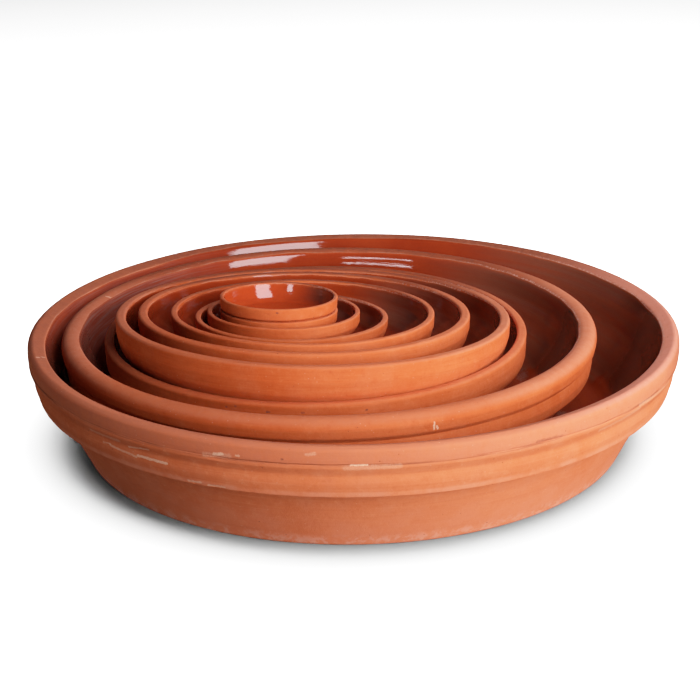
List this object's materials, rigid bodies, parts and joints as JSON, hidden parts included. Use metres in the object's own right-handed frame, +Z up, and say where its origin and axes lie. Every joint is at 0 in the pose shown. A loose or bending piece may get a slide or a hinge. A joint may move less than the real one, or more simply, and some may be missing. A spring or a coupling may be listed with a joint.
{
  "type": "nest of plant saucers",
  "caption": "Nest of round terracotta plant saucers with rolled rims, raw clay outside and a brown-red glaze inside, each one standing loose in the next larger.",
  "frame": {"origin": "centre of the outermost saucer's flat underside, on the floor plane", "axes": "+Z up out of the open saucers; +X to the right and -Y to the front of the nest as it is normally seen"},
  "size_m": [0.5444, 0.5444, 0.1206],
  "materials": {
    "terracotta_large": "matte raw fired clay outside and on the rims, glossy brown-red glaze inside",
    "terracotta_small": "matte raw fired clay outside and on the rims, glossy brown-red glaze inside"
  },
  "bodies": {
    "saucer_54cm_outer": {"saucer_54cm_outer": "terracotta_large"},
    "saucer_45cm": {"saucer_45cm": "terracotta_large"},
    "saucer_36cm": {"saucer_36cm": "terracotta_large"},
    "saucer_33cm": {"saucer_33cm": "terracotta_small"},
    "saucer_28cm": {"saucer_28cm": "terracotta_small"},
    "saucer_22cm": {"saucer_22cm": "terracotta_small"},
    "saucer_16cm": {"saucer_16cm": "terracotta_small"},
    "saucer_13cm": {"saucer_13cm": "terracotta_small"},
    "saucer_10cm_lower": {"saucer_10cm_lower": "terracotta_small"},
    "saucer_10cm_top": {"saucer_10cm_top": "terracotta_small"}
  },
  "joints": [
    {"name": "lift_45cm", "type": "slide", "parent": "saucer_54cm_outer", "child": "saucer_45cm", "axis": [0, 0, 1], "range_m": [0, 0.09]},
    {"name": "lift_36cm", "type": "slide", "parent": "saucer_45cm", "child": "saucer_36cm", "axis": [0, 0, 1], "range_m": [0, 0.075]},
    {"name": "lift_33cm", "type": "slide", "parent": "saucer_36cm", "child": "saucer_33cm", "axis": [0, 0, 1], "range_m": [0, 0.068]},
    {"name": "lift_28cm", "type": "slide", "parent": "saucer_33cm", "child": "saucer_28cm", "axis": [0.0279, 0.0697, 0.9972], "range_m": [0, 0.055]},
    {"name": "lift_22cm", "type": "slide", "parent": "saucer_28cm", "child": "saucer_22cm", "axis": [0.0279, 0.0697, 0.9972], "range_m": [0, 0.049]},
    {"name": "lift_16cm", "type": "slide", "parent": "saucer_22cm", "child": "saucer_16cm", "axis": [0.0279, 0.0697, 0.9972], "range_m": [0, 0.042]},
    {"name": "lift_13cm", "type": "slide", "parent": "saucer_16cm", "child": "saucer_13cm", "axis": [0.0279, 0.0697, 0.9972], "range_m": [0, 0.036]},
    {"name": "lift_10cm_lower", "type": "slide", "parent": "saucer_13cm", "child": "saucer_10cm_lower", "axis": [0.0279, 0.0697, 0.9972], "range_m": [0, 0.03]},
    {"name": "lift_10cm_top", "type": "slide", "parent": "saucer_10cm_lower", "child": "saucer_10cm_top", "axis": [0.0279, 0.0697, 0.9972], "range_m": [0, 0.02]}
  ]
}
